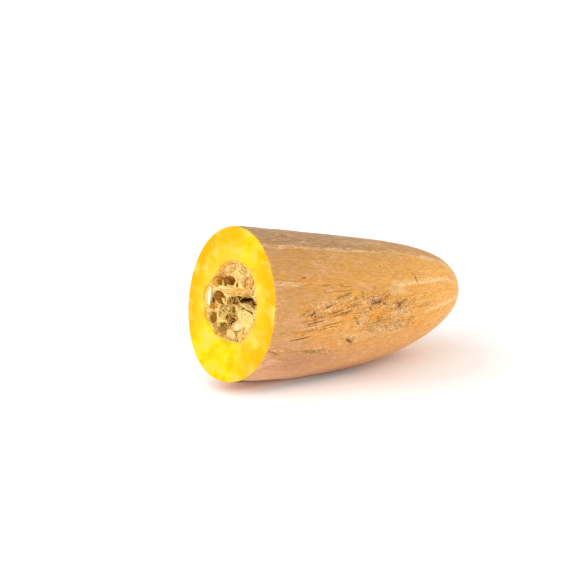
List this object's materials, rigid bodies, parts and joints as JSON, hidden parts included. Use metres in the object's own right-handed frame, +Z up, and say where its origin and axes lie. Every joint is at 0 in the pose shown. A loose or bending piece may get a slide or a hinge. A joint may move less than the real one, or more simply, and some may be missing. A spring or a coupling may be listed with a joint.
{
  "type": "banana squash",
  "caption": "Cut half of a long banana squash lying on its side, tapering to the blossom end, with thick yellow flesh round a cavity of stringy pulp and flat seeds.",
  "frame": {"origin": "under the middle of the part's box, on the surface that it rests on", "axes": "+X along the squash from the cut face towards the blossom end, +Z up, +Y across"},
  "size_m": [0.2902, 0.1488, 0.1575],
  "materials": {
    "rind": "dry waxy orange-buff rind with corky scars; moist yellow flesh on the cut face",
    "pulp": "wet stringy fibres, straw yellow to amber",
    "seed": "smooth cream seed coat with a tan face and a pale margin"
  },
  "bodies": {
    "root": {"squash_half": "rind", "seed_pulp": "pulp", "seed_01": "seed", "seed_02": "seed", "seed_03": "seed", "seed_04": "seed", "seed_05": "seed", "seed_06": "seed", "seed_07": "seed", "seed_08": "seed", "seed_09": "seed", "seed_10": "seed", "seed_11": "seed", "seed_12": "seed", "seed_13": "seed", "seed_14": "seed", "seed_15": "seed", "seed_16": "seed"}
  },
  "joints": []
}
